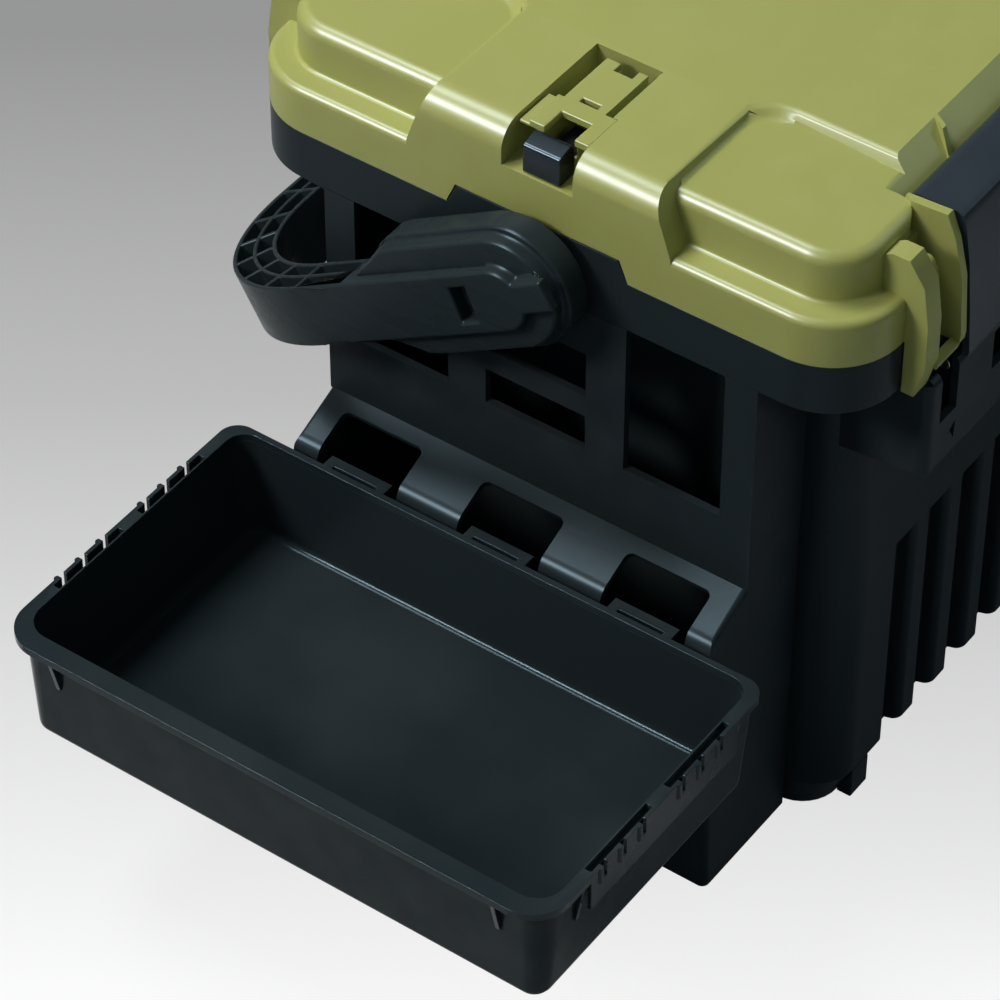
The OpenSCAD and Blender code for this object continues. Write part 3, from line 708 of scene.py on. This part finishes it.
def rib_tree() -> bpy.types.NodeTree:
    """Build the node tree of a row of ribs whose tops are thinner than their feet.

    Returns:
        The tree, with inputs for the count, step, size, centre, draft and material.
    """
    tree, inputs, outputs = new_group(
        "Rib row",
        "GeometryNodeTree",
        [("Geometry", "NodeSocketGeometry", None), ("Count", "NodeSocketInt", 4),
         ("Step", "NodeSocketVector", (0.06, 0.0, 0.0)), ("Rib Size", "NodeSocketVector", (0.002, 0.1, 0.02)),
         ("Centre", "NodeSocketVector", (0.0, 0.0, 0.0)), ("Draft", "NodeSocketVector", (0.0, 0.0, 0.0)),
         ("Material", "NodeSocketMaterial", None)],
        [("Geometry", "NodeSocketGeometry")],
    )
    gaps = tree.add("ShaderNodeMath", {0: inputs["Count"], 1: 1.0}, operation="SUBTRACT")
    half = tree.add("ShaderNodeMath", {0: gaps.outputs[0], 1: -0.5}, operation="MULTIPLY")
    back = tree.add("ShaderNodeVectorMath", {0: inputs["Step"], "Scale": half.outputs[0]},
                    operation="SCALE")
    start = tree.add("ShaderNodeVectorMath", {0: inputs["Centre"], 1: back.outputs[0]},
                     operation="ADD")
    line = tree.add("GeometryNodeMeshLine", {"Count": inputs["Count"], "Start Location": start.outputs[0],
                                             "Offset": inputs["Step"]}, mode="OFFSET")
    rib = tree.add("GeometryNodeMeshCube", {"Size": inputs["Rib Size"]})
    place = tree.add("GeometryNodeInputPosition").outputs[0]
    side = tree.add("ShaderNodeVectorMath", {0: place}, operation="SIGN")
    flat = tree.add("ShaderNodeVectorMath", {0: side.outputs[0], 1: (-1.0, -1.0, 0.0)},
                    operation="MULTIPLY")
    height = tree.add("ShaderNodeSeparateXYZ", {0: place})
    upper = tree.add("ShaderNodeMath", {0: height.outputs["Z"], 1: 0.0}, operation="GREATER_THAN")
    amount = tree.add("ShaderNodeVectorMath", {0: inputs["Draft"], "Scale": upper.outputs[0]},
                      operation="SCALE")
    offset = tree.add("ShaderNodeVectorMath", {0: flat.outputs[0], 1: amount.outputs[0]},
                      operation="MULTIPLY")
    drafted = tree.add("GeometryNodeSetPosition", {"Geometry": rib.outputs["Mesh"],
                                                   "Offset": offset.outputs[0]})
    row = tree.add("GeometryNodeInstanceOnPoints", {"Points": line.outputs["Mesh"],
                                                    "Instance": drafted.outputs[0]})
    real = tree.add("GeometryNodeRealizeInstances", {0: row.outputs[0]})
    dressed = tree.add("GeometryNodeSetMaterial", {"Geometry": real.outputs[0],
                                                   "Material": inputs["Material"]})
    tree.link(dressed.outputs[0], outputs["Geometry"])
    return tree.tree


@dataclass
class RibSet:
    """Rows of ribs that stand for one solid."""

    name: str
    node: str
    material: bpy.types.Material
    body: str
    slot: str
    rows: list[RibArray]

    def build(self, tree: bpy.types.NodeTree) -> None:
        """Make every row, join them into one piece and round their edges.

        Args:
            tree: The rib tree.
        """
        mesh = bmesh.new()
        for row in self.rows:
            row.build(tree, self.material, mesh)
        piece = new_piece(self.name, mesh, self.material, self.body, [self.node])
        soften(piece, Edge.CRISP)


@dataclass
class InnerTrayRibs:
    """The lift-out tray's dividers: ribs across it, and one along it in lengths. In millimetres."""

    material: bpy.types.Material
    cells: int = 5
    pitch: float = 62.4
    thickness: float = 2.0
    across: tuple[float, float] = (99.96, 27.98)
    along: tuple[float, float] = (60.9, 25.98)
    middle_z: tuple[float, float] = (228.01, 227.01)
    draft: float = 0.25

    def build(self, tree: bpy.types.NodeTree) -> None:
        """Make both rows.

        Args:
            tree: The rib tree.
        """
        step = (self.pitch * MM, 0.0, 0.0)
        thick, draft = self.thickness * MM, self.draft * MM
        RibSet("inner_tray_ribs", "inner_tray_dividers", self.material, "cabinet", "black_plastic", [
            RibArray(self.cells - 1, step, (thick, self.across[0] * MM, self.across[1] * MM),
                     (0.0, 0.0, self.middle_z[0] * MM), (draft, 0.0, 0.0)),
            RibArray(self.cells, step, (self.along[0] * MM, thick, self.along[1] * MM),
                     (0.0, 0.0, self.middle_z[1] * MM), (0.0, draft, 0.0)),
        ]).build(tree)


@dataclass
class LidRibs:
    """The grid under the lid: ribs across it, and two lines along it in lengths. In millimetres."""

    material: bpy.types.Material
    count: int = 5
    pitch: float = 60.0
    thickness: float = 2.4
    across: float = 190.0
    along: float = 57.6
    height: float = 9.27
    middle_z: float = 285.635
    line_y: tuple[float, float] = (-48.0, 48.0)
    draft: float = -0.2

    def build(self, tree: bpy.types.NodeTree) -> None:
        """Make the row across and the two lines.

        Args:
            tree: The rib tree.
        """
        step = (self.pitch * MM, 0.0, 0.0)
        thick, height, draft = self.thickness * MM, self.height * MM, self.draft * MM
        rows = [RibArray(self.count, step, (thick, self.across * MM, height),
                         (0.0, 0.0, self.middle_z * MM), (draft, 0.0, 0.0))]
        for y in self.line_y:
            rows.append(RibArray(self.count - 1, step, (self.along * MM, thick, height),
                                 (0.0, y * MM, self.middle_z * MM), (0.0, draft, 0.0)))
        RibSet("lid_ribs", "lid_stiffener", self.material, "lid", "olive_plastic", rows).build(tree)


# ---------------------------------------------------------------- studio


@dataclass(frozen=True)
class SoftBox:
    """A rectangular soft lamp, placed by direction and set by how bright it lights a white face.

    The level is what a white face turned to the lamp renders as, from this lamp alone.
    """

    name: str
    towards: Triple
    distance: float
    size: tuple[float, float]
    level: float
    colour: Colour = (1.0, 1.0, 1.0)
    glints_only: bool = False

    def build(self) -> None:
        """Place the lamp and aim it at the cabinet."""
        lamp = bpy.data.lights.new(self.name, "AREA")
        lamp.shape = "RECTANGLE"
        lamp.size, lamp.size_y = self.size
        lamp.energy = self.level * (math.pi * self.distance) ** 2
        lamp.color = self.colour
        box = bpy.data.objects.new(self.name, lamp)
        bpy.context.scene.collection.objects.link(box)
        box.visible_diffuse = not self.glints_only
        towards = Vector(self.towards).normalized()
        place = AIM + towards * self.distance
        turn = (-towards).to_track_quat("-Z", "Y").to_matrix().to_4x4()
        box.matrix_world = Matrix.Translation(place) @ turn


@dataclass
class Studio:
    """Floor, lamps, world and camera."""

    camera_at: Vector = field(
        default_factory=lambda: Vector((-1165.24599, -677.28591, 1264.10154)) * MM)
    yaw: float = 35.646317
    pitch: float = -43.873370
    focal_px: float = 4609.981
    frame_px: float = 1000.0
    sensor: float = 36.0
    floor_size: float = 14.0
    floor_drop: float = 0.0002
    floor_depth: tuple[float, float] = (-0.28, 0.27)
    # Painted shade: the floor's greys by depth, darker away from the camera in place of light falling off.
    floor_painted_falloff: tuple[tuple[float, float], ...] = (
        (0.0, 0.99), (0.262, 0.77), (0.567, 0.52), (1.0, 0.315))
    floor_bounce: Colour = (0.24, 0.25, 0.26)
    floor_lit: float = 0.10
    floor_glow: float = 0.88
    backdrop: Colour = (0.62, 0.62, 0.62)
    world_colour: Colour = (0.80, 0.92, 1.0)
    world_level: float = 0.20
    lamps: tuple[SoftBox, ...] = (
        SoftBox("Key soft box", (-0.69, 0.42, 0.586), 2.3, (0.55, 0.45), 0.42, (1.0, 0.985, 0.95)),
        SoftBox("Top soft box", (-0.10, 0.42, 0.90), 2.2, (0.8, 0.6), 0.66, (0.97, 0.99, 1.0)),
        SoftBox("Fill soft box", (0.586, -0.693, 0.42), 2.4, (0.7, 0.7), 0.05, (0.85, 0.95, 1.0)),
        SoftBox("Glint behind", (-0.69, 0.42, 0.586), 2.3, (0.7, 0.55), 4.0, (0.96, 0.99, 1.0), True),
        SoftBox("Glint right", (0.586, -0.50, 0.60), 2.4, (1.1, 1.1), 0.20, (0.72, 0.95, 0.97), True),
        SoftBox("Glint above", (-0.107, 0.42, 0.90), 2.2, (0.7, 0.7), 1.1, (0.90, 0.98, 1.0), True),
    )

    def build(self) -> None:
        """Build the whole studio."""
        self._floor()
        self._world()
        for lamp in self.lamps:
            lamp.build()
        self._camera()
        bpy.context.scene.view_settings.view_transform = "Standard"

    def _floor(self) -> None:
        """A pale floor whose colour is painted darker away from the camera, painted shade in place of light
        falling off, and which bounces little light.
        """
        half = self.floor_size
        mesh = bpy.data.meshes.new("studio_floor")
        corners = ((-half, -half), (half, -half), (half, half), (-half, half))
        mesh.from_pydata([(x, y, -self.floor_drop) for x, y in corners], [], [(0, 1, 2, 3)])
        floor = bpy.data.objects.new("studio_floor", mesh)
        bpy.context.scene.collection.objects.link(floor)
        mesh.materials.append(self._floor_material())

    def _floor_material(self) -> bpy.types.Material:
        """The floor's material, which looks different to the camera, to mirrors and to soft light."""
        material = bpy.data.materials.new("Pale floor")
        material.use_nodes = True
        tree = Tree(material.node_tree)
        shader = material.node_tree.nodes["Principled BSDF"]
        place = tree.add("ShaderNodeTexCoord").outputs["Object"]
        turned = tree.add("ShaderNodeMapping", {"Vector": place,
                                                "Rotation": (0, 0, math.radians(-self.yaw))})
        split = tree.add("ShaderNodeSeparateXYZ", {0: turned.outputs[0]})
        depth = tree.add("ShaderNodeMapRange", {"Value": split.outputs["X"],
                                                "From Min": self.floor_depth[0],
                                                "From Max": self.floor_depth[1]})
        # The ramp paints shade: the floor's colour, also its glow, darkens away from the camera, standing in
        # for light falling off the backdrop.
        tint = tree.add("ShaderNodeValToRGB", {0: depth.outputs[0]})
        ramp = tint.color_ramp
        for stop, grey in self.floor_painted_falloff:
            if stop in (0.0, 1.0):
                element = ramp.elements[0 if stop == 0.0 else -1]
            else:
                element = ramp.elements.new(stop)
            element.color = (grey, grey, grey, 1.0)
        path = tree.add("ShaderNodeLightPath")
        mirrored = tree.add("ShaderNodeMath", {0: path.outputs["Is Glossy Ray"],
                                               1: path.outputs["Is Transmission Ray"]}, operation="MAXIMUM")
        lit = tree.add("ShaderNodeMix", data_type="RGBA")
        lit.inputs[0].default_value = self.floor_lit
        lit.inputs[6].default_value = (0.0, 0.0, 0.0, 1.0)
        tree.link(tint.outputs[0], lit.inputs[7])
        base = tree.add("ShaderNodeMix", data_type="RGBA")
        MouldedPlastic.set_mix(base, path.outputs["Is Camera Ray"], self.floor_bounce,
                               lit.outputs[2], tree)
        shown = tree.add("ShaderNodeMix", data_type="RGBA")
        MouldedPlastic.set_mix(shown, mirrored.outputs[0], base.outputs[2], tint.outputs[0], tree)
        tree.link(shown.outputs[2], shader.inputs["Base Color"])
        tree.link(tint.outputs[0], shader.inputs["Emission Color"])
        glow = tree.add("ShaderNodeMath", {0: path.outputs["Is Camera Ray"], 1: self.floor_glow},
                        operation="MULTIPLY")
        tree.link(glow.outputs[0], shader.inputs["Emission Strength"])
        shader.inputs["Roughness"].default_value = 0.9
        shader.inputs["Specular IOR Level"].default_value = 0.0
        return material

    def _world(self) -> None:
        """A plain surround that lights from all sides and looks pale to the camera."""
        world = bpy.data.worlds.new("Studio")
        world.use_nodes = True
        bpy.context.scene.world = world
        tree = Tree(world.node_tree)
        background = world.node_tree.nodes["Background"]
        colour = tree.add("ShaderNodeMix", data_type="RGBA")
        MouldedPlastic.set_mix(colour, tree.add("ShaderNodeLightPath").outputs["Is Camera Ray"],
                               tuple(c * self.world_level for c in self.world_colour),
                               self.backdrop, tree)
        tree.link(colour.outputs[2], background.inputs["Color"])

    def _camera(self) -> None:
        """The camera at the measured place, looking along its measured yaw and pitch."""
        yaw, pitch = math.radians(self.yaw), math.radians(self.pitch)
        look = Vector((math.cos(pitch) * math.cos(yaw), math.cos(pitch) * math.sin(yaw), math.sin(pitch)))
        right = Vector((math.sin(yaw), -math.cos(yaw), 0))
        up = right.cross(look)
        data = bpy.data.cameras.new("Camera")
        data.sensor_width = self.sensor
        data.lens = self.sensor * self.focal_px / self.frame_px
        data.clip_end = 50.0
        camera = bpy.data.objects.new("Camera", data)
        bpy.context.scene.collection.objects.link(camera)
        turn = Matrix((right, up, -look)).transposed().to_4x4()
        camera.matrix_world = Matrix.Translation(self.camera_at) @ turn
        bpy.context.scene.camera = camera


def build_body(finish: Finishes, tree: bpy.types.NodeTree) -> None:
    """Dress the fixed body, and make the dividers of the tray in its mouth.

    Args:
        finish: The finishes.
        tree: The rib tree.
    """
    CadGroup(["tub", "corner_feet", "rim_frame", "inner_tray", *paired("catch_housings", SIDES)],
             finish.body).build()
    CadGroup(paired("end_box", ENDS), finish.body, Edge.SOFT).build()
    InnerTrayRibs(finish.body).build(tree)


def build_lid(finish: Finishes, tree: bpy.types.NodeTree) -> None:
    """Make the lid's moulding and ribs, and dress its lugs, leaves, buckles and lock catches.

    Args:
        finish: The finishes.
        tree: The rib tree.
    """
    LidRibs(finish.lid).build(tree)
    LidShell(finish.lid).build()
    CadGroup([*paired("lid_lugs", SIDES), *paired("lock_leaf", ENDS)], finish.lid).build()
    buckles = [name for side in SIDES for name in paired(f"buckle_{side}", ("left", "right"))]
    CadGroup(buckles, finish.buckle).build()
    CadGroup(paired("lock_catch", ENDS), finish.catch).build()


def build_handle(finish: Finishes) -> None:
    """Make the bail and dress its pivots.

    Args:
        finish: The finishes.
    """
    Handle(finish.handle).build()
    CadGroup(paired("handle_pivot", ENDS), finish.handle).build()


def build_side_tray(finish: Finishes) -> None:
    """Dress the hung tray and round its rim.

    Args:
        finish: The finishes.
    """
    CadGroup(["side_tray_pan", "side_tray_hooks"], finish.tray).build()
    RoundedNode("side_tray_lip", "side_tray_rim", finish.lip, "side_tray", "tray_plastic",
                [(RimOutline(), 0.8)], Edge.CRISP).build()


def main() -> None:
    """Build every sub-assembly in order."""
    logging.basicConfig(level=logging.INFO, format="%(name)s: %(message)s")
    finish = Finishes.build()
    tree = rib_tree()
    build_body(finish, tree)
    build_lid(finish, tree)
    build_handle(finish)
    build_side_tray(finish)
    CadGroup([*paired("catch_rods", SIDES), *paired("buckle_pins", SIDES)],
             finish.steel, Edge.CRISP).build()
    Studio().build()


if __name__ == "__main__":
    main()
